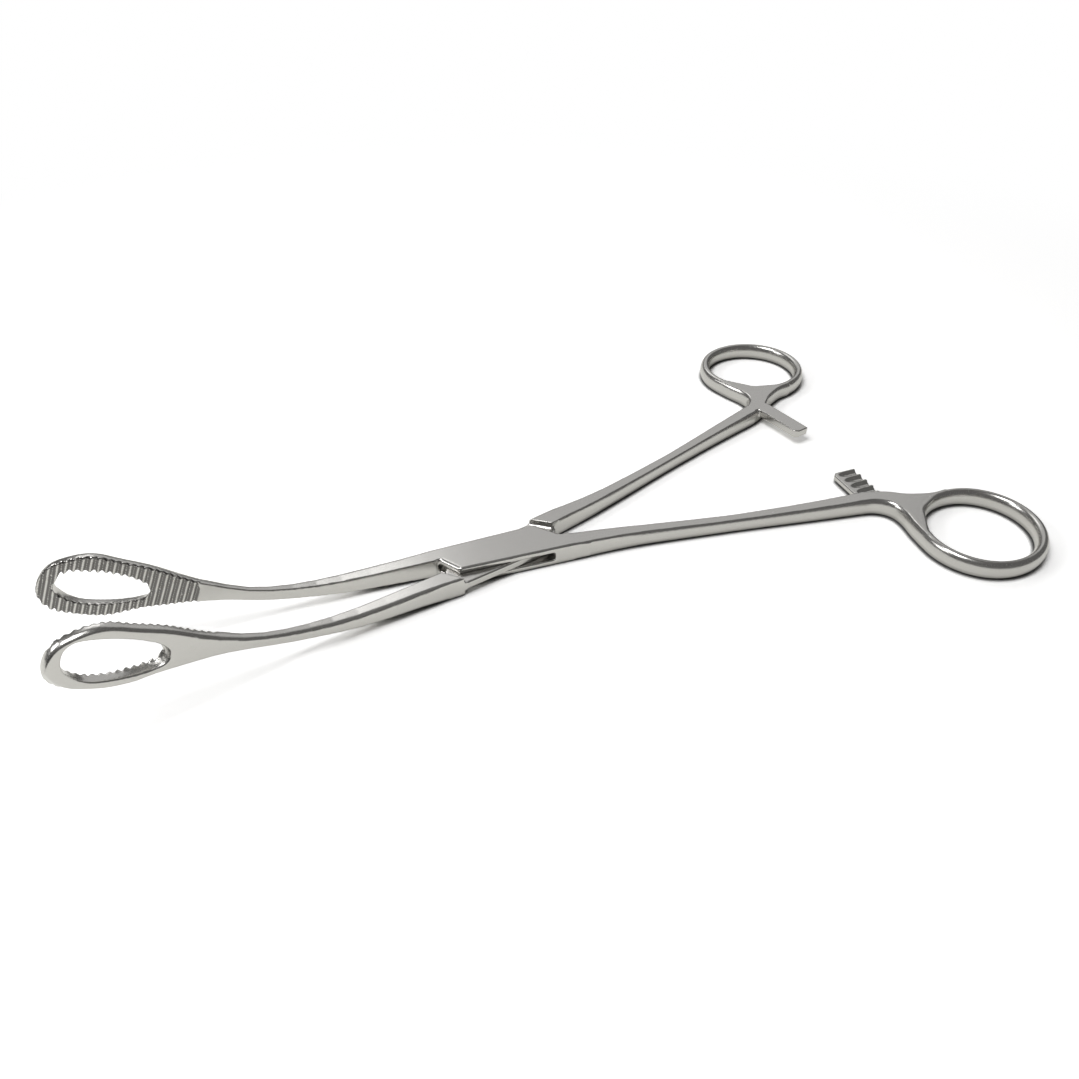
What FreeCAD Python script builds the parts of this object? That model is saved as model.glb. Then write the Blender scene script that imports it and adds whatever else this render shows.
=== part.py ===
import FreeCAD, Part
import math
import os

# Ring-handled sponge forceps with a box lock, lying flat as it rests on a table.
# Millimetres, +Z up, +X towards the finger rings, the jaws towards -X.
# The origin is on the pivot axis, on the underside of the box lock.
# Both halves are drawn in the closed half frame: x along the closed axis, y > 0 on the
# side of that half's handle and y < 0 on the side of its jaw. The tongue half is used as
# drawn, the slotted half is mirrored, and each is then turned open about the pivot.
V = FreeCAD.Vector
UP = V(0, 0, 1)

# Pose shown: each half is turned this far from the closed line
OPEN_HALF_ANGLE = 6.6

# Box lock, between the ends of the two roots
ROOT_X = 18.0
BOX_HEIGHT = 5.5
BOX_HALF_WIDTH = 5.5
BOX_NARROW_Y = 4.75            # side of the box beside the jaw root of the other half
ROOT_OUTER_Y = 5.85            # outer side of the handle root
ROOT_INNER_Y = 0.72            # inner side of the handle root
SHANK_ROOT_Y = 4.95            # outer side of the shank root
PLATE_THICKNESS = 1.6
PLATE_TIP_X = 16.2             # the inner end of each slanted plate edge
PLATE_TIP_Y = 0.6
PLATE_SETBACK_HANDLE = 5.4     # how far each slanted edge runs back along the box
PLATE_SETBACK_JAW = 3.8
PLATE_EDGE_ROUND = 1.0
BOX_SIDE_ROUND = 0.6
SLOT_REACH = 12.6              # where the slot ends on the side of the box
SLOT_SLANT = 4.2               # how far its end wall slants along the box
SLOT_OVERRUN = 3.0             # how far its cutter runs past the sides

# Tongue
TONGUE_PLATE_CLEARANCE = 0.08
TONGUE_END_CLEARANCE = 0.25
HANDLE_SHOULDER_GAP = 0.65     # thick shoulder to plate edge, when closed
JAW_SHOULDER_GAP = 1.3
SHOULDER_FILLET = 0.5

# Lock pin
PIN_RADIUS = 2.0
PIN_SEAT_CLEARANCE = 0.01
PIN_RUNNING_CLEARANCE = 0.05

# Handle arm
ARM_LINE = [(17.0, 3.25), (34.0, 4.65), (60.0, 8.5), (83.0, 11.95), (100.0, 14.2)]
ARM_WAIST_X = 62.0
ARM_ROOT_WIDTH = 5.15
ARM_WAIST_WIDTH = 3.5
ARM_END_WIDTH = 5.2
ARM_WAIST_HEIGHT = 4.1
ARM_EDGE_ROUND = 0.95
ARM_STATIONS = 6
ARM_LIFT = 0.15                # how far the arm clears the table

# Finger ring, an oval of four arcs
RING_CENTRE = (120.1, 34.8)
RING_LONG_RADIUS = 15.6        # to the middle of the wire
RING_SHORT_RADIUS = 14.8
RING_END_RADIUS = 14.4         # curvature at the two ends of the long radius
RING_TURN = -24.0              # direction of the long radius
RING_WIDTH = 3.0
RING_HEIGHT = 5.1
RING_FLAT_WIDTH = 1.4          # narrow flat on the top and underside of the wire
RING_SHOULDER = (0.28, 0.35)   # the wire's corners are broken twice: in from the side, down from the flat
RING_SIDE_FALL = 1.1           # from the flat down to the upright side
WEB_EDGE_BEVEL = 0.65
WEB_LEG = [(97.5, 16.9), (101.0, 17.7), (103.3, 19.9), (103.9, 23.5), (103.3, 28.5)]
WEB_CROTCH = [(109.3, 17.9), (105.8, 14.9), (102.0, 12.6), (97.5, 11.55)]
WEB_SWEEP = (195.0, 288.0)     # from the leg to the crotch, round the ring

# Ratchet bars
RATCHET_THICKNESS = 2.25
RATCHET_GAP = 0.2              # between the tooth crests of the two bars
RATCHET_LOWER_X = (99.6, 106.1)
RATCHET_UPPER_X = (100.7, 106.8)
RATCHET_LOWER_LAP = 1.0        # how far each bar reaches past the closed line
RATCHET_UPPER_LAP = 3.5
RATCHET_TIP_BEVEL = 1.2
RATCHET_ROOT_FLARE = 2.2
RATCHET_TEETH = 4
RATCHET_PITCH = 2.85
RATCHET_FIRST_TOOTH = 1.7      # from the tip to the middle of the first scoop
RATCHET_SCOOP_RADIUS = 1.15
RATCHET_SCOOP_DEPTH = 0.9
RATCHET_SCOOP_START = 1.0      # from the jaw side of the bar to the point of the scoop

# Shank from the box to the jaw: x, outer side, underside, top
SHANK_STATIONS = [
    (-17.0, 5.0, 0.0, 5.5), (-25.0, 4.65, 0.7, 5.55), (-33.0, 4.35, 1.3, 5.6), (-40.0, 3.95, 1.9, 5.8),
    (-46.0, 3.5, 2.9, 6.3), (-51.5, 3.0, 3.95, 7.15), (-56.5, 2.65, 5.1, 8.3), (-61.0, 2.4, 6.5, 9.8),
    (-65.5, 2.22, 8.15, 12.1), (-70.0, 2.15, 9.6, 15.0),
]
SHANK_FACE_GAP = 0.4           # closed line to the inner side of the shank
# Jaw loop and its window, side view (x, z)
LOOP_OUTLINE = [
    (-70.0, 9.6), (-82.0, 11.7), (-94.5, 13.3), (-102.0, 20.0),
    (-99.4, 26.9), (-91.5, 29.0), (-81.5, 23.9), (-70.0, 15.0),
]
LOOP_ENDS = ((-1.0, 0.24), (1.0, -0.7))     # directions in which it leaves and meets the shank
WINDOW_OUTLINE = [(-99.0, 21.8), (-93.7, 25.8), (-85.4, 22.4), (-81.4, 17.2), (-86.7, 14.9), (-96.1, 17.4)]
JAW_FACE_GAP = 0.15            # closed line to the tooth crests
JAW_THICKNESS = 2.0
JAW_OUTER_ROUND = 0.95
WINDOW_BEVEL = 0.8

# Serration of the jaw face
SERRATION_PITCH = 1.51
SERRATION_DEPTH = 0.45
SERRATION_WIDTH = 1.15
SERRATION_LEAN = 25.5          # lean of the grooves from upright
SERRATION_START = (-72.2, 12.5)
SERRATION_COUNT = 21


def arc_from(start, direction, end):
    """Arc that leaves start in the given direction and stops at end."""
    chord = end - start
    aside = chord - direction * chord.dot(direction)
    if aside.Length < 0.0001:
        return Part.makeLine(start, end)
    aside.normalize()
    radius = chord.Length ** 2 / (2 * chord.dot(aside))
    centre = start + aside * radius
    outwards = ((start + end) / 2 - centre).normalize()
    return Part.Arc(start, centre + outwards * radius, end).toShape()


def flow_at(before, point, after):
    """Direction, at the middle one, of the circle through three points."""
    a = point - before
    b = after - point
    return (a * (b.Length / a.Length) + b * (a.Length / b.Length)).normalize()


def smooth_line(points, closed=False, ends=(None, None)):
    """Tangent arcs through plan or side points, two between each pair; edges in order."""
    count = len(points)
    loop = [points[-1]] + points + points[:1]
    flows = [flow_at(loop[i], loop[i + 1], loop[i + 2]) for i in range(count)]
    if closed:
        points = points + points[:1]
        flows.append(flows[0])
    else:
        for place, inner, given in ((0, 1, ends[0]), (-1, -2, ends[1])):
            chord = (points[inner] - points[place]).normalize()
            mirrored = chord * (2 * chord.dot(flows[inner])) - flows[inner]
            flows[place] = given or mirrored
    edges = []
    for p, q, start, end in zip(points, points[1:], flows, flows[1:]):
        span = q - p
        sweep = 1.0 - start.dot(end)
        along = span.dot(start + end)
        if sweep < 0.000001:
            reach = span.Length ** 2 / (2 * along)
        else:
            reach = (math.sqrt(along ** 2 + 2 * sweep * span.Length ** 2) - along) / (2 * sweep)
        joint = (p + q + (start - end) * reach) / 2
        middle_flow = (q - end * reach - p - start * reach).normalize()
        edges += [arc_from(p, start, joint), arc_from(joint, middle_flow, q)]
    return edges


def prism(points, bottom, top):
    corners = [V(x, y, bottom) for x, y in points]
    return Part.Face(Part.makePolygon(corners + corners[:1])).extrude(UP * (top - bottom))


def edges_along(solid, start, end):
    """Edges of a solid that lie above or below the plan line from start to end."""
    line = Part.makeLine(V(*start, 0), V(*end, 0))
    found = []
    for edge in solid.Edges:
        feet = [V(v.X, v.Y, 0) for v in edge.Vertexes]
        level = abs(edge.Vertexes[0].Z - edge.Vertexes[-1].Z) < 0.001
        if level and all(line.distToShape(Part.Vertex(foot))[0] < 0.001 for foot in feet):
            found.append(edge)
    return found


def plate_edges():
    """Slanted ends of the plates: the one at the other half's handle, the one at its jaw."""
    tip = (PLATE_TIP_X, PLATE_TIP_Y)
    handle_edge = (tip, (PLATE_TIP_X - PLATE_SETBACK_HANDLE, -BOX_HALF_WIDTH))
    jaw_edge = ((-PLATE_TIP_X, -PLATE_TIP_Y), (-PLATE_TIP_X + PLATE_SETBACK_JAW, BOX_NARROW_Y))
    return handle_edge, jaw_edge


def slot_outline(inset):
    """Outline of the slot: the two end walls slant, and the other sides are open."""
    half = BOX_HALF_WIDTH
    wall_foot = (SLOT_REACH + SLOT_SLANT - inset, 0.0)
    wall_top = (SLOT_REACH - SLOT_SLANT * SLOT_OVERRUN / half - inset, half + SLOT_OVERRUN)
    corner = (wall_foot[0], -half - SLOT_OVERRUN)
    outline = [wall_top, wall_foot, corner]
    return outline + [(-x, -y) for x, y in outline]


def box_block():
    """Block of the box, with its slanted plate ends and rounded sides, before the slot."""
    handle_edge, jaw_edge = plate_edges()
    outer_corner = (ROOT_X, ROOT_OUTER_Y)
    shank_corner = (-ROOT_X, -SHANK_ROOT_Y)
    outline = [
        jaw_edge[0], jaw_edge[1], outer_corner, (ROOT_X, ROOT_INNER_Y),
        handle_edge[0], handle_edge[1], shank_corner, (-ROOT_X, -SHANK_FACE_GAP),
    ]
    block = prism(outline, 0, BOX_HEIGHT)
    ends = edges_along(block, *handle_edge) + edges_along(block, *jaw_edge)
    block = block.makeFillet(PLATE_EDGE_ROUND, ends)
    sides = [e for e in block.Edges if is_long_side(e)]
    return block.makeFillet(BOX_SIDE_ROUND, sides)


def is_long_side(edge):
    """Long straight edge on the top or underside of the box, along one of its sides."""
    box = edge.BoundBox
    level = box.ZLength < 0.001
    return level and box.XLength > ROOT_X and box.YLength < 0.1 * box.XLength


def ease(value, start, end):
    """0 at start and 1 at end, leaving the start slowly; 0 before it."""
    return max(0.0, (value - start) / (end - start)) ** 1.5


def upright_section(x, sides, levels, rounds):
    """Section across x between two sides and two levels, its corners broken twice each.

    The rounds are those of the corners on the first and on the second side.
    """
    points = []
    for y, z, dy, dz, r in (
        (sides[0], levels[0], 1, 1, rounds[0]), (sides[1], levels[0], -1, 1, rounds[1]),
        (sides[1], levels[1], -1, -1, rounds[1]), (sides[0], levels[1], 1, -1, rounds[0]),
    ):
        sag = r * (1.0 - math.sqrt(0.5))
        corner = [V(x, y, z + dz * r), V(x, y + dy * sag, z + dz * sag), V(x, y + dy * r, z)]
        if r == 0.0:
            corner = corner[:1]
        points += corner if dy == dz else corner[::-1]
    return Part.makePolygon(points + points[:1])


def arm_section(x, centre_y):
    """Rounded section of the handle arm on the plane across x."""
    to_root = ease(x, ARM_WAIST_X, ARM_LINE[0][0])
    to_ring = ease(x, ARM_WAIST_X, ARM_LINE[-1][0])
    width = ARM_WAIST_WIDTH
    width += (ARM_ROOT_WIDTH - ARM_WAIST_WIDTH) * to_root
    width += (ARM_END_WIDTH - ARM_WAIST_WIDTH) * to_ring
    top = ARM_WAIST_HEIGHT
    top += (BOX_HEIGHT - ARM_WAIST_HEIGHT) * to_root
    top += (RING_HEIGHT - ARM_WAIST_HEIGHT) * to_ring
    bottom = ARM_LIFT * (1.0 - to_ring)
    radius = ARM_EDGE_ROUND + (BOX_SIDE_ROUND - ARM_EDGE_ROUND) * to_root
    sides = (centre_y - width / 2, centre_y + width / 2)
    return upright_section(x, sides, (bottom, top), (radius, radius))


def handle_arm():
    """Arm from the box to the ring, waisted in the middle and bowed outwards."""
    line = Part.Wire(smooth_line([V(x, y, 0) for x, y in ARM_LINE]))
    start, end = ARM_LINE[0][0], ARM_LINE[-1][0]
    sections = []
    for index in range(ARM_STATIONS):
        x = start + (end - start) * index / (ARM_STATIONS - 1)
        across = Part.makeLine(V(x, 0, 0), V(x, RING_CENTRE[1], 0))
        centre = line.distToShape(across)[1][0][0]
        sections.append(arm_section(x, centre.y))
    return Part.makeLoft(sections, True, True)


def shank():
    """Shank from the box to the jaw, thinning as it curves up off the table."""
    sections = []
    for x, outer, bottom, top in SHANK_STATIONS:
        inner = JAW_FACE_GAP if x == LOOP_OUTLINE[0][0] else SHANK_FACE_GAP
        root = x == SHANK_STATIONS[0][0]
        radius = BOX_SIDE_ROUND if root else JAW_OUTER_ROUND
        sections.append(upright_section(x, (-outer, -inner), (bottom, top), (radius, 0.0)))
    return Part.makeLoft(sections, True, True)


def ring_point(angle, grow):
    """Point of the ring's oval, grown outwards from the middle of the wire."""
    turn = math.radians(RING_TURN)
    a = (RING_LONG_RADIUS + grow) * math.cos(angle)
    b = (RING_SHORT_RADIUS + grow) * math.sin(angle)
    x = RING_CENTRE[0] + a * math.cos(turn) - b * math.sin(turn)
    y = RING_CENTRE[1] + a * math.sin(turn) + b * math.cos(turn)
    return (x, y)


def ring_arc(centre, radius, start, sweep):
    """Stretch of ring wire, turned about an upright axis through centre."""
    half = RING_WIDTH / 2
    inset, drop = RING_SHOULDER
    quarter = [(half, RING_SIDE_FALL), (half - inset, drop), (RING_FLAT_WIDTH / 2, 0)]
    side = [(x, RING_HEIGHT - z) for x, z in quarter[::-1]] + quarter
    section = [(radius + x, z) for x, z in side] + [(radius - x, z) for x, z in side[::-1]]
    corners = [V(x, 0, z) for x, z in section]
    face = Part.Face(Part.makePolygon(corners + corners[:1])).rotated(V(0, 0, 0), UP, start)
    return face.translated(centre).revolve(centre, UP, sweep)


def finger_ring():
    """Ring of four stretches of wire, with the web and leg that join it to the arm."""
    end_offset = RING_LONG_RADIUS - RING_END_RADIUS
    side_radius = (end_offset ** 2 + RING_SHORT_RADIUS ** 2 - RING_END_RADIUS ** 2)
    side_radius /= 2 * (RING_SHORT_RADIUS - RING_END_RADIUS)
    side_offset = RING_SHORT_RADIUS - side_radius
    half_sweep = math.degrees(math.atan2(-side_offset, end_offset))
    middle = V(*RING_CENTRE, 0)
    pieces = [web()]
    for facing in (RING_TURN, RING_TURN + 180.0):
        for direction, offset, radius, sweep in (
            (facing, end_offset, RING_END_RADIUS, 2 * half_sweep),
            (facing + 90.0, side_offset, side_radius, 180.0 - 2 * half_sweep),
        ):
            turn = math.radians(direction)
            centre = middle + V(math.cos(turn), math.sin(turn), 0) * offset
            pieces.append(ring_arc(centre, radius, direction - sweep / 2, sweep))
    return pieces[0].fuse(pieces[1:])


def web():
    """Flat web between the arm and the ring, with a straight leg and a hollow crotch."""
    first, last = (math.radians(angle) for angle in WEB_SWEEP)
    middle = (first + last) / 2
    leg = WEB_LEG + [ring_point(first, RING_WIDTH / 2)]
    crotch = [ring_point(last, RING_WIDTH / 2)] + WEB_CROTCH
    inside = [ring_point(angle, 0) for angle in (first, (first + middle) / 2, middle, (middle + last) / 2, last)]
    leg, inside, crotch = ([V(x, y, 0) for x, y in line] for line in (leg, inside, crotch))
    edges = smooth_line(leg) + [Part.makeLine(leg[-1], inside[0])] + smooth_line(inside)
    edges += [Part.makeLine(inside[-1], crotch[0])] + smooth_line(crotch)
    edges.append(Part.makeLine(crotch[-1], leg[0]))
    body = Part.Face(Part.Wire(edges)).extrude(UP * RING_HEIGHT)
    bevelled = []
    for line in (leg, crotch):
        for edge in smooth_line(line):
            bevelled += [matching(body, edge, 0), matching(body, edge, RING_HEIGHT)]
    return body.makeChamfer(WEB_EDGE_BEVEL, bevelled)


def matching(body, edge, height):
    """The edge of a body that lies over a plan edge, at the given height."""
    middle = edge.CenterOfMass + UP * height
    return min(body.Edges, key=lambda e: e.CenterOfMass.distanceToPoint(middle))


def ratchet_bar(upper):
    """Flat toothed bar; the upper one has its teeth underneath, the lower one on top."""
    near, far = RATCHET_UPPER_X if upper else RATCHET_LOWER_X
    tip = -RATCHET_UPPER_LAP if upper else -RATCHET_LOWER_LAP
    side = -1 if upper else 1
    face = RING_HEIGHT / 2 - side * RATCHET_GAP / 2
    back = face - side * RATCHET_THICKNESS
    root = ARM_LINE[-1][1]
    flare = RATCHET_ROOT_FLARE
    shoulder = root - ARM_END_WIDTH / 2
    outline = [
        (near + RATCHET_TIP_BEVEL, tip), (far, tip), (far, root), (near - flare, root),
        (near - flare, shoulder), (near, shoulder - flare), (near, tip + RATCHET_TIP_BEVEL),
    ]
    bar = prism(outline, min(face, back), max(face, back))
    length = far - near
    slope = math.atan2(RATCHET_SCOOP_DEPTH, length - RATCHET_SCOOP_START)
    along = V(math.cos(slope), 0, -side * math.sin(slope))
    for index in range(RATCHET_TEETH):
        y = tip + RATCHET_FIRST_TOOTH + index * RATCHET_PITCH
        point = V(near + RATCHET_SCOOP_START, y, face + side * RATCHET_SCOOP_RADIUS)
        bar = bar.cut(Part.makeCylinder(RATCHET_SCOOP_RADIUS, 3 * length, point - along * length, along))
    return bar


def groove(index):
    """One vee groove across the jaw face, leaning with the serration."""
    mouth = SERRATION_WIDTH / 2
    depth = JAW_FACE_GAP + SERRATION_DEPTH
    outline = [(-mouth, 0), (-mouth, -JAW_FACE_GAP), (0, -depth), (mouth, -JAW_FACE_GAP), (mouth, 0)]
    reach = SERRATION_START[0] - min(x for x, z in LOOP_OUTLINE)
    body = prism(outline, -reach, reach).rotated(V(0, 0, 0), V(0, 1, 0), SERRATION_LEAN)
    step = SERRATION_PITCH / math.cos(math.radians(SERRATION_LEAN))
    return body.translated(V(SERRATION_START[0] - index * step, 0, SERRATION_START[1]))


def jaw():
    """Oval loop of the jaw: bevelled window, rounded outer rim, serrated inner face."""
    loop = [V(x, -JAW_THICKNESS, z) for x, z in LOOP_OUTLINE]
    leave, meet = (V(x, 0, z).normalize() for x, z in LOOP_ENDS)
    rim = smooth_line(loop, ends=(leave, meet))
    window_rim = smooth_line([V(x, -JAW_THICKNESS, z) for x, z in WINDOW_OUTLINE], True)
    across = V(0, JAW_THICKNESS - JAW_FACE_GAP, 0)
    body = Part.Face(Part.Wire(rim + [Part.makeLine(loop[-1], loop[0])])).extrude(across)
    body = body.cut(Part.Face(Part.Wire(window_rim)).extrude(across))
    body = body.makeChamfer(WINDOW_BEVEL, [matching(body, edge, 0) for edge in window_rim])
    body = body.makeFillet(JAW_OUTER_ROUND, [matching(body, edge, 0) for edge in rim])
    return body.cut([groove(index) for index in range(SERRATION_COUNT)])


def slotted_half():
    """Half whose two plates close over the tongue; it carries the lower ratchet bar."""
    body = box_block().fuse([handle_arm(), finger_ring(), ratchet_bar(False), shank(), jaw()])
    slot = prism(slot_outline(0.0), PLATE_THICKNESS, BOX_HEIGHT - PLATE_THICKNESS)
    seat = Part.makeCylinder(PIN_RADIUS + PIN_SEAT_CLEARANCE, BOX_HEIGHT)
    return body.cut([slot, seat]).removeSplitter()


def shoulder_line(edge, gap):
    """Foot of a thick shoulder, seen from above, at the given gap from a closed plate edge."""
    start, end = ((x, -y) for x, y in edge)
    along = V(end[0] - start[0], end[1] - start[1], 0).normalize()
    return [(p[0] + along.y * gap, p[1] - along.x * gap) for p in (start, end)]


def at_y(line, y):
    """Point of a plan line at the given y."""
    start, end = line
    share = (y - start[1]) / (end[1] - start[1])
    return (start[0] + (end[0] - start[0]) * share, y)


def thick_root(inner, outer, outer_corner, inner_corner):
    """Full-height root between its slanted shoulder and the end of the box."""
    block = prism([inner, outer, outer_corner, inner_corner], 0, BOX_HEIGHT)
    return block.makeFillet(BOX_SIDE_ROUND, edges_along(block, outer, outer_corner))


def tongue_half():
    """Half whose thin tongue passes between the plates; it carries the upper ratchet bar."""
    handle_edge, jaw_edge = plate_edges()
    side = BOX_HALF_WIDTH
    line = shoulder_line(handle_edge, HANDLE_SHOULDER_GAP)
    handle_foot = (at_y(line, ROOT_INNER_Y), at_y(line, side))
    handle_root = thick_root(*handle_foot, (ROOT_X, ROOT_OUTER_Y), (ROOT_X, ROOT_INNER_Y))
    line = shoulder_line(jaw_edge, JAW_SHOULDER_GAP)
    jaw_foot = (at_y(line, -SHANK_FACE_GAP), at_y(line, -side))
    jaw_root = thick_root(*jaw_foot, (-ROOT_X, -SHANK_ROOT_Y), (-ROOT_X, -SHANK_FACE_GAP))
    wall_foot = (SLOT_REACH + SLOT_SLANT - TONGUE_END_CLEARANCE, 0.0)
    wall_end = (SLOT_REACH - TONGUE_END_CLEARANCE, -side)
    outline = [wall_end, wall_foot, *handle_foot]
    outline += [(-wall_end[0], side), (-wall_foot[0], 0.0), *jaw_foot]
    bottom = PLATE_THICKNESS + TONGUE_PLATE_CLEARANCE
    body = prism(outline, bottom, BOX_HEIGHT - bottom).fuse([handle_root, jaw_root])
    feet = edges_along(body, *handle_foot) + edges_along(body, *jaw_foot)
    feet = [e for e in feet if 0.001 < e.Vertexes[0].Z < BOX_HEIGHT - 0.001]
    body = body.makeFillet(SHOULDER_FILLET, feet)
    body = body.fuse([handle_arm(), finger_ring(), ratchet_bar(True), shank(), jaw()])
    bore = Part.makeCylinder(PIN_RADIUS + PIN_RUNNING_CLEARANCE, BOX_HEIGHT)
    return body.cut(bore).removeSplitter()


def lock_pin():
    """Plain pin of the lock, ground flush with both plates."""
    return Part.makeCylinder(PIN_RADIUS, BOX_HEIGHT)


def opened(half, angle):
    """A half turned about the pivot from the closed line."""
    return half.rotated(V(0, 0, 0), UP, angle)


def main():
    os.makedirs("parts", exist_ok=True)
    slotted = slotted_half().mirror(V(0, 0, 0), V(0, 1, 0))
    opened(slotted, -OPEN_HALF_ANGLE).exportStep("parts/slotted_half.step")
    opened(tongue_half(), OPEN_HALF_ANGLE).exportStep("parts/tongue_half.step")
    lock_pin().exportStep("parts/lock_pin.step")


main()
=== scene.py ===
import math

import bmesh
import bpy
from mathutils import Euler, Matrix, Vector


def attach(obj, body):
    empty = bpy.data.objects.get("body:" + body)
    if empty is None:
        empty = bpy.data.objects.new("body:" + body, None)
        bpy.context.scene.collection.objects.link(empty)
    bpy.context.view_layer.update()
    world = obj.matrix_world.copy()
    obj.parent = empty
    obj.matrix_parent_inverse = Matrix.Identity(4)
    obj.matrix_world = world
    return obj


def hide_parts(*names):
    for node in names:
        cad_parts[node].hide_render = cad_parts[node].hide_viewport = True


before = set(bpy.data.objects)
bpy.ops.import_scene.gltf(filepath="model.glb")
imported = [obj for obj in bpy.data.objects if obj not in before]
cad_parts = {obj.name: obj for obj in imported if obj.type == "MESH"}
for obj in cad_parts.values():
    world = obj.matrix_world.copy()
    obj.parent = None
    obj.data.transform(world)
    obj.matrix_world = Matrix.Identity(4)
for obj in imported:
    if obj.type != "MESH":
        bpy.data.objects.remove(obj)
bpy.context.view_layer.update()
scene = bpy.context.scene

# Camera: a little above the table, over the jaws and to their near side, close enough that the
# jaws look large beside the finger rings. Distances in metres from the pivot of the lock.
CAMERA_AZIMUTH = -26.109
CAMERA_ELEVATION = 39.728
CAMERA_ROLL = -0.677
PIVOT_DEPTH = 0.2189
PIVOT_LEFT = 0.00962
PIVOT_BELOW = 0.00589
LENS = 28.41

camera_data = bpy.data.cameras.new("camera")
camera_data.lens = LENS
camera_data.clip_start = 0.01
camera = bpy.data.objects.new("camera", camera_data)
turn = Euler((math.radians(90 - CAMERA_ELEVATION), 0, math.radians(CAMERA_AZIMUTH)), "XYZ").to_matrix()
turn = turn @ Matrix.Rotation(math.radians(CAMERA_ROLL), 3, "Z")
camera.matrix_world = turn.to_4x4()
camera.location = turn @ Vector((PIVOT_LEFT, PIVOT_BELOW, PIVOT_DEPTH))
bpy.context.collection.objects.link(camera)
scene.camera = camera

# Table: plain white, with painted contact shadow close under the steel: its colour darkens where the
# steel hems it in. The camera sees it lighter than the steel does, so that its own grey doesn't tint
# the picture; the shadows on it stay.
bpy.ops.mesh.primitive_plane_add(size=6.0)
floor = bpy.context.object
floor.name = "floor"
floor_material = bpy.data.materials.new("floor")
floor_material.use_nodes = True
nodes = floor_material.node_tree.nodes
links = floor_material.node_tree.links
nodes.remove(nodes["Principled BSDF"])
# Painted contact shadow: how open each spot is to the sky darkens the table's colour.
open_sky = nodes.new("ShaderNodeAmbientOcclusion")
open_sky.samples = 8
open_sky.inputs["Distance"].default_value = 0.002

contact = nodes.new("ShaderNodeMapRange")
contact.inputs["From Min"].default_value = 0.45
contact.inputs["From Max"].default_value = 0.75
contact.inputs["To Min"].default_value = 0.1
contact.inputs["To Max"].default_value = 1.66
links.new(open_sky.outputs["AO"], contact.inputs["Value"])
seen = nodes.new("ShaderNodeBsdfDiffuse")
links.new(contact.outputs["Result"], seen.inputs["Color"])

clear = nodes.new("ShaderNodeEmission")
place = nodes.new("ShaderNodeTexCoord")
distance = nodes.new("ShaderNodeVectorMath")
distance.operation = "LENGTH"
away = nodes.new("ShaderNodeMapRange")
away.interpolation_type = "SMOOTHSTEP"
away.inputs["From Min"].default_value = 0.16
away.inputs["From Max"].default_value = 0.40
fade = nodes.new("ShaderNodeMixShader")
links.new(place.outputs["Object"], distance.inputs[0])
links.new(distance.outputs["Value"], away.inputs["Value"])
links.new(away.outputs["Result"], fade.inputs["Fac"])
links.new(seen.outputs["BSDF"], fade.inputs[1])
links.new(clear.outputs["Emission"], fade.inputs[2])

# The table as the steel sees it, with the same painted contact shadow close under the steel.
shade = nodes.new("ShaderNodeMix")
shade.data_type = "RGBA"
shade.inputs["A"].default_value = (0.35, 0.35, 0.34, 1)
shade.inputs["B"].default_value = (1.2, 1.2, 1.16, 1)
links.new(open_sky.outputs["AO"], shade.inputs["Factor"])
plain = nodes.new("ShaderNodeBsdfDiffuse")
links.new(shade.outputs["Result"], plain.inputs["Color"])

ray = nodes.new("ShaderNodeLightPath")
mix = nodes.new("ShaderNodeMixShader")
links.new(ray.outputs["Is Camera Ray"], mix.inputs["Fac"])
links.new(plain.outputs["BSDF"], mix.inputs[1])
links.new(fade.outputs["Shader"], mix.inputs[2])
links.new(mix.outputs["Shader"], nodes["Material Output"].inputs["Surface"])
floor.data.materials.append(floor_material)

# Room: dim, so that the sides of the steel show dark bands, but white where the camera looks
# past the table.
world = bpy.data.worlds.new("room")
scene.world = world
world.use_nodes = True
nodes = world.node_tree.nodes
links = world.node_tree.links
background = nodes["Background"]
background.inputs["Color"].default_value = (1.0, 0.99, 0.975, 1)
background.inputs["Strength"].default_value = 0.15
white = nodes.new("ShaderNodeBackground")
white.inputs["Color"].default_value = (1, 1, 1, 1)
seen_directly = nodes.new("ShaderNodeLightPath")
choice = nodes.new("ShaderNodeMixShader")
links.new(seen_directly.outputs["Is Camera Ray"], choice.inputs["Fac"])
links.new(background.outputs["Background"], choice.inputs[1])
links.new(white.outputs["Background"], choice.inputs[2])
links.new(choice.outputs["Shader"], nodes["World Output"].inputs["Surface"])


# Lights: a broad dim one far behind for the flat tops, a small one to its left, a bright one
# overhead for the shoulders and one on the left for the far sides.
def softbox(name, place, size, radiance):
    data = bpy.data.lights.new(name, "AREA")
    data.shape = "RECTANGLE"
    data.size, data.size_y = size
    data.energy = radiance * size[0] * size[1] * math.pi
    light = bpy.data.objects.new(name, data)
    light.location = place
    light.rotation_euler = Vector(place).to_track_quat("Z", "Y").to_euler()
    bpy.context.collection.objects.link(light)


softbox("far_softbox", (0.41, 0.83, 0.77), (1.5, 1.1), 0.47)
softbox("far_left_softbox", (0.0, 0.86, 0.82), (0.45, 0.5), 1.1)
softbox("top_softbox", (-0.38, -0.04, 0.88), (0.4, 0.4), 8.0)
softbox("left_softbox", (-0.80, 0.25, 0.55), (0.4, 0.3), 5.0)

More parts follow.
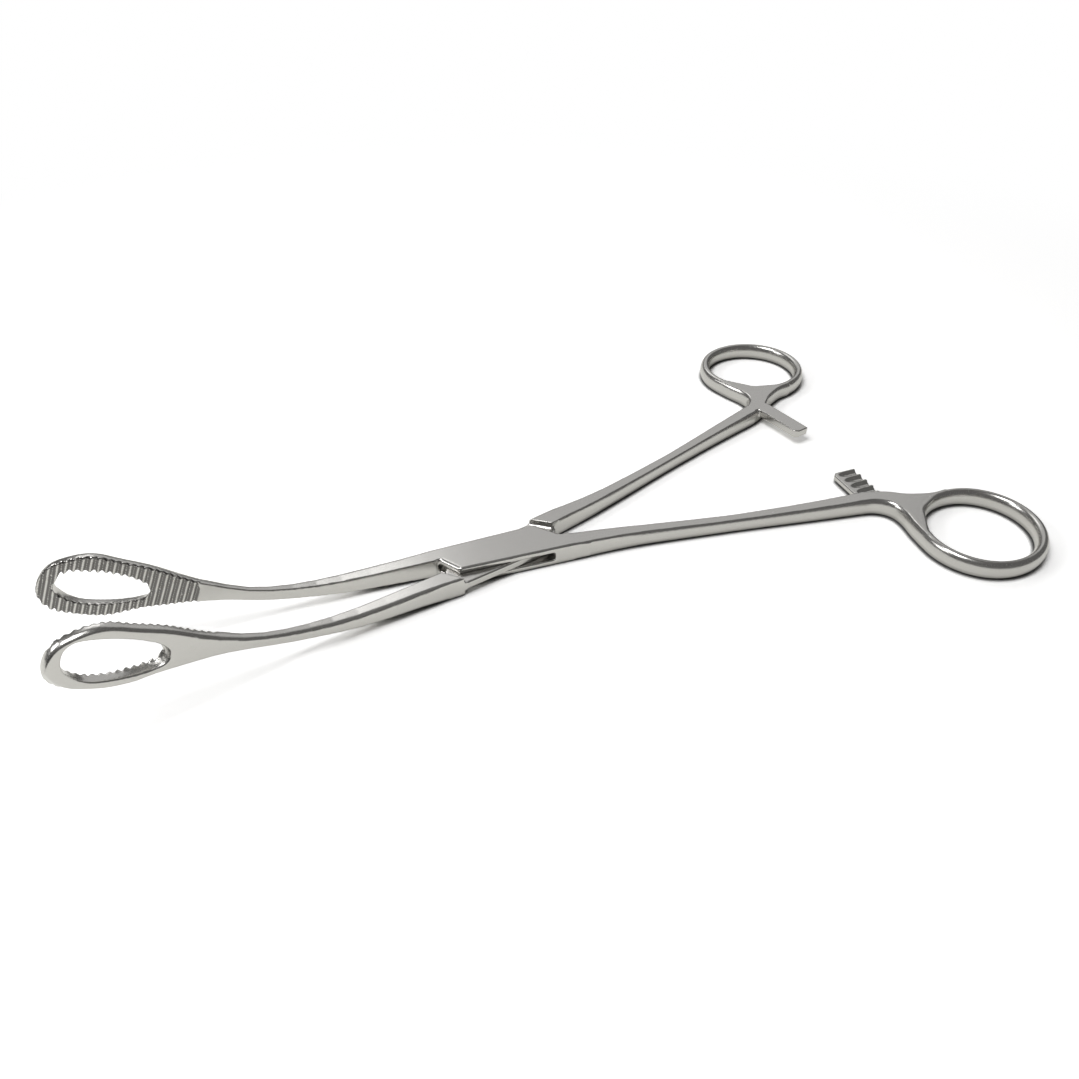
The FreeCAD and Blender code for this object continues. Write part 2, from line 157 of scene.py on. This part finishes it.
# Dark card standing beside the jaws, out of the picture: the serrations show dark lines in it.
bpy.ops.mesh.primitive_plane_add(size=1.0, location=(-0.205, -0.095, 0.035))
card = bpy.context.object
card.name = "dark_card"
card.scale = (0.14, 0.07, 1.0)
card.rotation_euler = Vector((0.8, 0.6, 0.0)).to_track_quat("Z", "Y").to_euler()
card_material = bpy.data.materials.new("dark_card")
card_material.use_nodes = True
nodes = card_material.node_tree.nodes
nodes.remove(nodes["Principled BSDF"])
glow = nodes.new("ShaderNodeEmission")
glow.inputs["Color"].default_value = (0.05, 0.05, 0.05, 1)
card_material.node_tree.links.new(glow.outputs["Emission"], nodes["Material Output"].inputs["Surface"])
card.data.materials.append(card_material)
card.visible_camera = False
card.visible_diffuse = False
card.visible_shadow = False


# Steel: satin stainless, all pieces of one stock, blasted and lightly brushed along their length.
# The walls of the jaws' grooves get a much darker copy of it, which is painted shade in the grooves.
def satin_steel(name, colour):
    material = bpy.data.materials.new(name)
    material.use_nodes = True
    nodes = material.node_tree.nodes
    links = material.node_tree.links
    shader = nodes["Principled BSDF"]
    shader.inputs["Base Color"].default_value = colour
    shader.inputs["Metallic"].default_value = 1.0
    place = nodes.new("ShaderNodeTexCoord")
    stretch = nodes.new("ShaderNodeMapping")
    stretch.inputs["Scale"].default_value = (700, 3200, 3200)
    grain = nodes.new("ShaderNodeTexNoise")
    grain.inputs["Scale"].default_value = 1.0
    grain.inputs["Detail"].default_value = 3.0
    sheen = nodes.new("ShaderNodeMapRange")
    sheen.inputs["To Min"].default_value = 0.17
    sheen.inputs["To Max"].default_value = 0.31
    bump = nodes.new("ShaderNodeBump")
    bump.inputs["Strength"].default_value = 0.12
    bump.inputs["Distance"].default_value = 0.00003
    links.new(place.outputs["Object"], stretch.inputs["Vector"])
    links.new(stretch.outputs["Vector"], grain.inputs["Vector"])
    links.new(grain.outputs["Fac"], sheen.inputs["Value"])
    links.new(sheen.outputs["Result"], shader.inputs["Roughness"])
    links.new(grain.outputs["Fac"], bump.inputs["Height"])
    links.new(bump.outputs["Normal"], shader.inputs["Normal"])
    return material


steel = satin_steel("satin_steel", (0.60, 0.59, 0.57, 1))
# Painted shade for the walls of the jaws' grooves.
groove_painted_shade = satin_steel("groove_painted_shade", (0.16, 0.155, 0.15, 1))

# Finger rings: each is the end of its forging, of a rounded upright section, bent to a slightly
# long ring of four arcs. This and the next forms are drawn on the closed half, in millimetres:
# x towards the rings, y > 0 on the side of the half's own handle, z up from the table.
TOP = 5.1                       # level of the flat tops
MIDDLE = TOP / 2
SECTION_POINTS = 32
RING_CENTRE = (120.1, 34.8)
RING_TURN = math.radians(-24)
RING_END = (1.2, 14.4)          # offset and radius of the two end arcs
RING_SIDE = (-1.6, 16.4)        # the same for the two side arcs
RING_HALF_WIDTH = 1.5
RING_FULLNESS = 2.1             # 2 is an ellipse, more is boxier
HALF_ARC_STEPS = 16


def skin(rows, around=False):
    """Closed surface lofted through rows of points; around joins the last row to the first."""
    body = bmesh.new()
    grid = [[body.verts.new(p) for p in row] for row in rows]
    pairs = list(zip(grid, grid[1:]))
    if around:
        pairs.append((grid[-1], grid[0]))
    for row, following in pairs:
        for i in range(len(row)):
            j = (i + 1) % len(row)
            body.faces.new((row[i], row[j], following[j], following[i]))
    if not around:
        body.faces.new(grid[0][::-1])
        body.faces.new(grid[-1])
    bmesh.ops.recalc_face_normals(body, faces=body.faces)
    mesh = bpy.data.meshes.new("form")
    body.to_mesh(mesh)
    body.free()
    return mesh


def wire_section(centre, outwards, half_width, half_height, middle, fullness):
    """Rounded upright section of wire across a plan direction."""
    points = []
    for step in range(SECTION_POINTS):
        angle = math.tau * step / SECTION_POINTS
        c, s = math.cos(angle), math.sin(angle)
        reach = (abs(c) ** fullness + abs(s) ** fullness) ** (-1 / fullness)
        u, w = half_width * reach * c, half_height * reach * s
        points.append((centre[0] + outwards[0] * u, centre[1] + outwards[1] * u, middle + w))
    return points


def ring_form():
    """The whole ring, arc after arc."""
    end_sweep = math.atan2(-RING_SIDE[0], RING_END[0])
    side_sweep = math.pi / 2 - end_sweep
    arcs = ((0, RING_END, end_sweep), (90, RING_SIDE, side_sweep),
            (180, RING_END, end_sweep), (270, RING_SIDE, side_sweep))
    turned = Matrix.Rotation(RING_TURN, 2)
    rows = []
    for facing, (offset, radius), sweep in arcs:
        facing_angle = math.radians(facing)
        for step in range(2 * HALF_ARC_STEPS):
            angle = facing_angle + sweep * (step / HALF_ARC_STEPS - 1)
            x = offset * math.cos(facing_angle) + radius * math.cos(angle)
            y = offset * math.sin(facing_angle) + radius * math.sin(angle)
            centre = Vector(RING_CENTRE) + turned @ Vector((x, y))
            outwards = turned @ Vector((math.cos(angle), math.sin(angle)))
            rows.append(wire_section(centre, outwards, RING_HALF_WIDTH, MIDDLE, MIDDLE, RING_FULLNESS))
    return skin(rows, around=True)


# Webs: flat steel that is left between the ring, the arm and the ratchet bar. Two rounded edges
# run on from the arm, one round the outside as the ring's leg and one round the crotch.
LEG = [
    (84.0, 13.85), (92.0, 15.15), (97.5, 16.3), (101.3, 17.5),
    (103.9, 19.9), (104.5, 23.5), (103.7, 28.5), (103.2, 34.0),
]
CROTCH = [
    (84.0, 9.95), (92.0, 10.9), (97.5, 11.5), (102.4, 12.2),
    (106.6, 13.7), (111.0, 16.3), (117.0, 18.15), (122.0, 18.2),
]
EDGE_HALF_WIDTH = 1.5
EDGE_FULLNESS = 2.3
EDGE_PLACES = 90
EDGE_SINK = 0.55                # how far the edges start below the arm's top
EDGE_RISEN = 98.0               # where they have risen to the flat top
EDGE_RISE = 14.0                # over which length
WEB_PLACES = 40
WEB_START = 96.0
WEB_FROM_LEG = (0.9, -0.6)      # the flat middle begins this far inside the two edges
WEB_FROM_CROTCH = (-0.3, 0.9)
WEB_FROM_RING = [(-14.4, -3.0), (-9.6, -10.8), (-2.0, -14.4)]
WEB_BELOW_TOP = 0.02


def curve(points, count):
    """Places on a smooth curve through plan or side points, evenly shared among its spans."""
    padded = [2 * Vector(points[0]) - Vector(points[1])] + [Vector(p) for p in points]
    padded.append(2 * padded[-1] - padded[-2])
    places = []
    spans = len(points) - 1
    for step in range(count):
        share = spans * step / (count - 1)
        span = min(int(share), spans - 1)
        t = share - span
        a, b, c, d = padded[span:span + 4]
        place = 2 * b + (c - a) * t
        place += (2 * a - 5 * b + 4 * c - d) * t ** 2
        place += (3 * b - a - 3 * c + d) * t ** 3
        places.append(place / 2)
    return places


def edge_form(outline, side):
    """Rounded edge of the web, along and inside a plan outline."""
    places = curve(outline, EDGE_PLACES)
    rows = []
    for before, place, after in zip(places, places[1:], places[2:]):
        along = (after - before).normalized()
        inwards = Vector((along.y, -along.x)) * side
        height = MIDDLE - EDGE_SINK * max(0.0, min(1.0, (EDGE_RISEN - place.x) / EDGE_RISE))
        centre = place + inwards * EDGE_HALF_WIDTH
        rows.append(wire_section(centre, inwards, EDGE_HALF_WIDTH, height, height, EDGE_FULLNESS))
    return skin(rows)


def prism(outline, low, high):
    """Plan outline raised from one level to another."""
    return skin([[(x, y, z) for x, y in outline] for z in (low, high)])


def web_form():
    """Flat middle of the web, inside its two rounded edges and the ring."""
    leg = [(x + WEB_FROM_LEG[0], y + WEB_FROM_LEG[1]) for x, y in curve(LEG, WEB_PLACES)]
    crotch = [(x + WEB_FROM_CROTCH[0], y + WEB_FROM_CROTCH[1]) for x, y in curve(CROTCH, WEB_PLACES)]
    outline = [p for p in leg if p[0] > WEB_START]
    outline += [(RING_CENTRE[0] + x, RING_CENTRE[1] + y) for x, y in WEB_FROM_RING]
    outline += [p for p in crotch[::-1] if p[0] > WEB_START]
    return prism(outline, WEB_BELOW_TOP, TOP - WEB_BELOW_TOP)


# Arms: the long bars of the handles, forged slimmest at mid length, with a flat top, a crease
# along its edges and sides that bulge. They run from the box lock into the web.
ARM_LINE = [(17.0, 3.25), (34.0, 4.65), (60.0, 8.5), (83.0, 11.95), (100.0, 14.2)]
ARM_PLACES = 80
ARM_HIDDEN_PLACES = 4           # inside the box lock, left out
ARM_START = 17.0
WAIST = 62.0
WAIST_TO_ROOT = 45.0
WAIST_TO_RING = 38.0
ARM_WIDTH = (3.5, 1.65, 1.7)    # at the waist, and what it gains at the root and at the ring
ARM_HEIGHT = (4.1, 1.4, 1.0)    # the same
ARM_SWELL = 1.5                 # how late the gains set in
ARM_LIFT = 0.15                 # gap between arm and table
ARM_BULGE = 0.3
ARM_BULGE_FULLNESS = 2.4
ARM_BULGE_LENGTH = 20.0         # over which the bulge grows from flat sides at the lock
ARM_CORNER = 0.6                # radius of the edges at the lock
ARM_CORNER_LENGTH = 25.0
ARM_SIDE_STEPS = 8


def arm_form():
    rows = []
    for place in curve(ARM_LINE, ARM_PLACES)[ARM_HIDDEN_PLACES:]:
        x = place.x
        to_root = max(0.0, (WAIST - x) / WAIST_TO_ROOT) ** ARM_SWELL
        to_ring = max(0.0, (x - WAIST) / WAIST_TO_RING) ** ARM_SWELL
        half = (ARM_WIDTH[0] + ARM_WIDTH[1] * to_root + ARM_WIDTH[2] * to_ring) / 2
        top = ARM_HEIGHT[0] + ARM_HEIGHT[1] * to_root + ARM_HEIGHT[2] * to_ring
        low = ARM_LIFT * (1.0 - to_ring)
        bulge = ARM_BULGE * min(1.0, (x - ARM_START) / ARM_BULGE_LENGTH)
        corner = max(0.0, ARM_CORNER * (1.0 - (x - ARM_START) / ARM_CORNER_LENGTH))
        section = []
        for side in (1, -1):
            for step in range(2 * ARM_SIDE_STEPS + 1):
                t = side * math.sin(math.pi / 2 * (step / ARM_SIDE_STEPS - 1))
                short = max(0.0, corner - (1.0 - abs(t)) * (top - low) / 2)
                reach = half * (1.0 - bulge * abs(t) ** ARM_BULGE_FULLNESS) - corner
                reach += math.sqrt(corner ** 2 - short ** 2)
                section.append((x, place.y + side * reach, (top + low) / 2 + t * (top - low) / 2))
        rows.append(section)
    return skin(rows)


# Ratchet bars: one on each web, pointing at the other handle. Four hollows are milled across each,
# with pointed ends, so that teeth stand between them: up on the lower bar, down on the upper one.
LOWER_BAR = (99.7, 107.2, -1.0, 0.9, 2.45)      # x of its two sides, y of its tip, its levels
UPPER_BAR = (101.6, 106.3, -3.5, 2.65, TOP)
BAR_ROOT = 14.0
BAR_CORNER = 1.1
HOLLOW_COUNT = 4
HOLLOW_START = 1.7
HOLLOW_PITCH = 2.85
HOLLOW_ROWS = ((0.9, 0.02), (1.7, 0.6), (2.9, 1.0), (4.5, 1.12), (12.0, 1.12))    # place, radius
HOLLOW_LIFT = 0.25              # how far its axis lies outside the bar
HOLLOW_LIFT_GROWTH = 0.02       # and how much further for each millimetre of radius
HOLLOW_POINTS = 24


def bar_form(bar):
    near, far, tip, low, high = bar
    outline = [(near + BAR_CORNER, tip), (far, tip), (far, BAR_ROOT), (near, BAR_ROOT)]
    outline.append((near, tip + BAR_CORNER))
    return prism(outline, low, high)


def hollow_form(bar, facing, index):
    """Round channel with a pointed end, in the bar's top (facing 1) or underside (facing -1)."""
    near, far, tip, low, high = bar
    face = high if facing > 0 else low
    y = tip + HOLLOW_START + HOLLOW_PITCH * index
    rows = []
    for place, radius in HOLLOW_ROWS:
        axis = face + facing * (HOLLOW_LIFT + radius * HOLLOW_LIFT_GROWTH)
        row = []
        for step in range(HOLLOW_POINTS):
            angle = math.tau * step / HOLLOW_POINTS
            row.append((near + place, y + radius * math.cos(angle), axis + radius * math.sin(angle)))
        rows.append(row)
    return skin(rows)


# Jaws: the ends of the shanks, forged flat and curved up. Each has a long window with sloping
# walls and leaning vee grooves across its inner face, and its back is thicker towards the tip.
FACE_DEPTH = -0.15              # y of the inner face
BACK_DEPTH = -2.0               # y of the outer face as packed
GROOVE_COUNT = 21
GROOVE_LEAN = math.radians(25.5)
GROOVE_START = (-72.2, 12.5)
GROOVE_PITCH = 1.51
GROOVE_REACH = 32.0
GROOVE_SECTION = [(-0.6, 0.2), (-0.6, -0.15), (0.0, -0.72), (0.6, -0.15), (0.6, 0.2)]
WINDOW_INSIDE = [
    (-98.6, 22.2), (-97.0, 24.6), (-94.3, 25.7), (-89.0, 24.0), (-84.2, 21.3), (-81.5, 18.3),
    (-81.2, 16.2), (-83.0, 15.0), (-87.2, 15.1), (-91.8, 16.0), (-95.6, 17.8), (-97.9, 20.2),
]
WINDOW_OUTSIDE = [
    (-98.4, 23.0), (-96.9, 26.5), (-93.9, 27.6), (-88.6, 25.5), (-83.9, 22.4), (-80.6, 19.0),
    (-79.7, 16.2), (-81.5, 14.0), (-86.3, 14.0), (-91.5, 15.3), (-95.5, 17.2), (-97.8, 20.2),
]
WINDOW_STEPS = 12
WINDOW_DEPTHS = (0.6, FACE_DEPTH, BACK_DEPTH, -2.8)
PLUG = [
    (-100.3, 21.8), (-96.0, 27.0), (-90.0, 26.6), (-82.5, 21.0),
    (-78.6, 15.6), (-82.0, 12.8), (-89.0, 13.2), (-97.0, 16.4),
]
PLUG_STEPS = 8
PLUG_DEPTHS = (-0.17, -1.98)
UNDERSIDE = [
    (-101.0, 23.0), (-100.2, 19.9), (-98.5, 17.5), (-96.1, 15.9),
    (-93.2, 14.4), (-90.1, 13.4), (-85.5, 12.5),
]
UNDERSIDE_CLEAR = (-110.0, 2.0)                 # well outside the jaw
UNDERSIDE_MIDDLE = (-88.0, 22.0)
UNDERSIDE_SLOPE = ((-0.3, 2.2), (-2.9, -0.9))   # y, and how far outside the outline the cut is there
UNDERSIDE_PLACES = 40
PACKED_BACK = [(-58.0, 2.57), (-61.0, 2.4), (-65.5, 2.22), (-69.9, 2.15), (-70.1, 2.0), (-110.0, 2.0)]
FULL_BACK = [(-58.0, 2.57), (-61.0, 2.52), (-65.5, 2.6), (-70.0, 2.7), (-75.0, 2.75), (-110.0, 2.75)]


def closed_curve(points, count):
    """The same as curve, for a closed outline."""
    wrapped = points[-2:] + points + points[:3]
    places = curve(wrapped, (len(points) + 4) * count + 1)
    return places[2 * count:(len(points) + 2) * count]


def plug_form():
    """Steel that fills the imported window, so that the true one can be cut."""
    outline = closed_curve(PLUG, PLUG_STEPS)
    return skin([[(p.x, y, p.y) for p in outline] for y in PLUG_DEPTHS])


def window_form():
    """Window of the jaw: its walls slope, wider on the outer face and towards the shank."""
    inside = closed_curve(WINDOW_INSIDE, WINDOW_STEPS)
    outside = closed_curve(WINDOW_OUTSIDE, WINDOW_STEPS)
    rows = []
    for y in WINDOW_DEPTHS:
        share = (FACE_DEPTH - y) / (FACE_DEPTH - BACK_DEPTH)
        outline = [a + (b - a) * share for a, b in zip(inside, outside)]
        rows.append([(p.x, y, p.y) for p in outline])
    return skin(rows)


def groove_form(index):
    """One vee groove across the jaw face, leaning with the serration."""
    along = Vector((math.sin(GROOVE_LEAN), 0, math.cos(GROOVE_LEAN)))
    aside = Vector((math.cos(GROOVE_LEAN), 0, -math.sin(GROOVE_LEAN)))
    start = Vector((GROOVE_START[0] - index * GROOVE_PITCH / math.cos(GROOVE_LEAN), 0, GROOVE_START[1]))
    rows = []
    for reach in (-GROOVE_REACH, GROOVE_REACH):
        rows.append([start + aside * a + Vector((0, b, 0)) + along * reach for a, b in GROOVE_SECTION])
    return skin(rows)


def underside_form():
    """What is ground off the lower corner of the jaw's outer face, in a slope."""
    middle = Vector(UNDERSIDE_MIDDLE)
    first_z = UNDERSIDE[0][1]
    last_x = UNDERSIDE[-1][0]
    clear_x, clear_z = UNDERSIDE_CLEAR
    rows = []
    for y, out in UNDERSIDE_SLOPE:
        line = [p + (p - middle).normalized() * out for p in curve(UNDERSIDE, UNDERSIDE_PLACES)]
        clear = [(last_x, y, clear_z), (clear_x, y, clear_z), (clear_x, y, first_z)]
        rows.append([(p.x, y, p.y) for p in line] + clear)
    return skin(rows)


def back_depth(x, line):
    """Distance of the jaw's back from the closed plane at a place along the jaw."""
    for (x0, y0), (x1, y1) in zip(line, line[1:]):
        if x >= x1:
            return y0 + (y1 - y0) * (x0 - x) / (x0 - x1)
    return line[-1][1]


# Box lock: two plates of the slotted half with the other half's tongue between them. The plates
# close over the ends of the lock pin, which are ground flush and polished over.
PIN_COVER_RADIUS = 2.3
PIN_COVER_POINTS = 48
PIN_COVERS = ((0.0, 0.4), (5.1, 5.5))           # levels in the lower and in the upper plate


def cover_form(low, high):
    """Round part of a plate over one end of the lock pin."""
    outline = []
    for step in range(PIN_COVER_POINTS):
        angle = math.tau * step / PIN_COVER_POINTS
        outline.append((PIN_COVER_RADIUS * math.cos(angle), PIN_COVER_RADIUS * math.sin(angle)))
    return prism(outline, low, high)


# The two halves: each is one drop forging of satin stainless steel, with its finger ring, web,
# arm, ratchet bar, box lock and jaw in one piece, ground and softened at every edge. They turn
# on the lock pin. The mirrored half is the one with the slot.
MM = 0.001
OPEN_HALF_ANGLE = math.radians(6.6)
MERGE_DISTANCE = 0.0000001
HANDLE_START = 22.0             # from here on the handle is made of the forms above
HANDLE_REGION = [(HANDLE_START, -60.0), (160.0, -60.0), (160.0, 90.0), (HANDLE_START, 90.0)]
HANDLE_LEVELS = (-5.0, 12.0)
VOXEL = 0.000275
SOFTENING = 0.5
SOFTENING_STEPS = 2
JAW_START = -58.0
KEPT_DEPTH = 1.0                # nearer than this to the closed plane the jaw stays as it is
DEEPEST = 4.0
SERRATED_FROM = -71.0
GROOVE_WALL_DEPTHS = (-0.85, -0.2)
GROOVE_WALL_FACING = (0.35, 0.95)


def united(meshes, name):
    """One object of several closed surfaces, in metres."""
    body = bmesh.new()
    for mesh in meshes:
        body.from_mesh(mesh)
    bmesh.ops.transform(body, matrix=Matrix.Scale(MM, 4), verts=body.verts)
    mesh = bpy.data.meshes.new(name)
    body.to_mesh(mesh)
    body.free()
    return bpy.data.objects.new(name, mesh)


def settled(thing, *steps):
    """The object's mesh after modifiers, each given by its kind and settings."""
    bpy.context.collection.objects.link(thing)
    for kind, settings in steps:
        modifier = thing.modifiers.new(kind.lower(), kind)
        for key, value in settings.items():
            setattr(modifier, key, value)
    bpy.context.view_layer.update()
    ready = thing.evaluated_get(bpy.context.evaluated_depsgraph_get())
    mesh = bpy.data.meshes.new_from_object(ready)
    bpy.data.objects.remove(thing)
    return mesh


def cut(mesh, cutters, operation="DIFFERENCE"):
    """The mesh after one boolean step with the joined cutters."""
    other = united(cutters, "cutter")
    bpy.context.collection.objects.link(other)
    thing = bpy.data.objects.new("cut", mesh)
    mesh = settled(thing, ("BOOLEAN", {"operation": operation, "object": other, "solver": "MANIFOLD"}))
    bpy.data.objects.remove(other)
    return mesh


HALVES = (("slotted_half", "slotted_body", True), ("tongue_half", "tongue_body", False))
for half_name, body_name, mirrored in HALVES:
    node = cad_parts[half_name]
    to_closed = Matrix.Rotation(OPEN_HALF_ANGLE * (1 if mirrored else -1), 4, "Z")
    if mirrored:
        to_closed = Matrix.Scale(-1, 4, (0, 1, 0)) @ to_closed
    core = bmesh.new()
    core.from_mesh(node.data)
    bmesh.ops.remove_doubles(core, verts=core.verts, dist=MERGE_DISTANCE)
    bmesh.ops.transform(core, matrix=to_closed @ node.matrix_world, verts=core.verts)
    bmesh.ops.recalc_face_normals(core, faces=core.faces)
    mesh = bpy.data.meshes.new(half_name)
    core.to_mesh(mesh)
    core.free()
    mesh = cut(mesh, [prism(HANDLE_REGION, *HANDLE_LEVELS)])
    mesh = cut(mesh, [plug_form()], "UNION")
    mesh = cut(mesh, [window_form()])
    mesh = cut(mesh, [groove_form(index) for index in range(GROOVE_COUNT)])
    mesh = cut(mesh, [underside_form()])
    bar, facing = (LOWER_BAR, 1) if mirrored else (UPPER_BAR, -1)
    toothed = united([bar_form(bar)], "bar")
    toothed = cut(toothed.data, [hollow_form(bar, facing, index) for index in range(HOLLOW_COUNT)])
    forms = [arm_form(), ring_form(), edge_form(LEG, 1), edge_form(CROTCH, -1), web_form()]
    if mirrored:
        forms += [cover_form(*levels) for levels in PIN_COVERS]
    fresh = united(forms, "fresh")
    whole = bmesh.new()
    for form in (mesh, toothed, fresh.data):
        whole.from_mesh(form)
    joined = bpy.data.meshes.new(half_name)
    whole.to_mesh(joined)
    whole.free()
    mesh = settled(bpy.data.objects.new("whole", joined),
                   ("REMESH", {"mode": "VOXEL", "voxel_size": VOXEL}),
                   ("SMOOTH", {"factor": SOFTENING, "iterations": SOFTENING_STEPS}))
    for vertex in mesh.vertices:
        x, y = vertex.co.x / MM, -vertex.co.y / MM
        if x < JAW_START and KEPT_DEPTH < y < DEEPEST:
            growth = (back_depth(x, FULL_BACK) - KEPT_DEPTH) / (back_depth(x, PACKED_BACK) - KEPT_DEPTH)
            vertex.co.y = -(KEPT_DEPTH + (y - KEPT_DEPTH) * growth) * MM
    mesh.materials.clear()
    mesh.materials.append(steel)
    mesh.materials.append(groove_painted_shade)
    # Faces on the walls of the grooves take the darker copy of the steel: painted shade.
    for face in mesh.polygons:
        x, y = face.center.x / MM, face.center.y / MM
        in_groove = x < SERRATED_FROM and GROOVE_WALL_DEPTHS[0] < y < GROOVE_WALL_DEPTHS[1]
        if in_groove and GROOVE_WALL_FACING[0] < face.normal.y < GROOVE_WALL_FACING[1]:
            face.material_index = 1
    mesh.transform(to_closed.inverted())
    if mirrored:
        mesh.flip_normals()
    mesh.shade_smooth()
    steel_half = bpy.data.objects.new(half_name + "_steel", mesh)
    bpy.context.collection.objects.link(steel_half)
    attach(steel_half, body_name)
    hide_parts(half_name)

# Lock pin: a plain steel pin through the box lock, riveted and ground flush with both plates, so
# that its ends don't show. It turns with the slotted half.
PIN_RADIUS = 0.00199
PIN_LENGTH = 0.0047
PIN_MIDDLE = 0.00275
PIN_SIDES = 96

body = bmesh.new()
bmesh.ops.create_cone(body, cap_ends=True, segments=PIN_SIDES, radius1=PIN_RADIUS, radius2=PIN_RADIUS,
                      depth=PIN_LENGTH)
bmesh.ops.translate(body, vec=(0, 0, PIN_MIDDLE), verts=body.verts)
pin_mesh = bpy.data.meshes.new("lock_pin_steel")
body.to_mesh(pin_mesh)
body.free()
pin = bpy.data.objects.new("lock_pin_steel", pin_mesh)
bpy.context.collection.objects.link(pin)
pin.data.materials.append(steel)
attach(pin, "slotted_body")
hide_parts("lock_pin")

scene.view_settings.view_transform = "Standard"
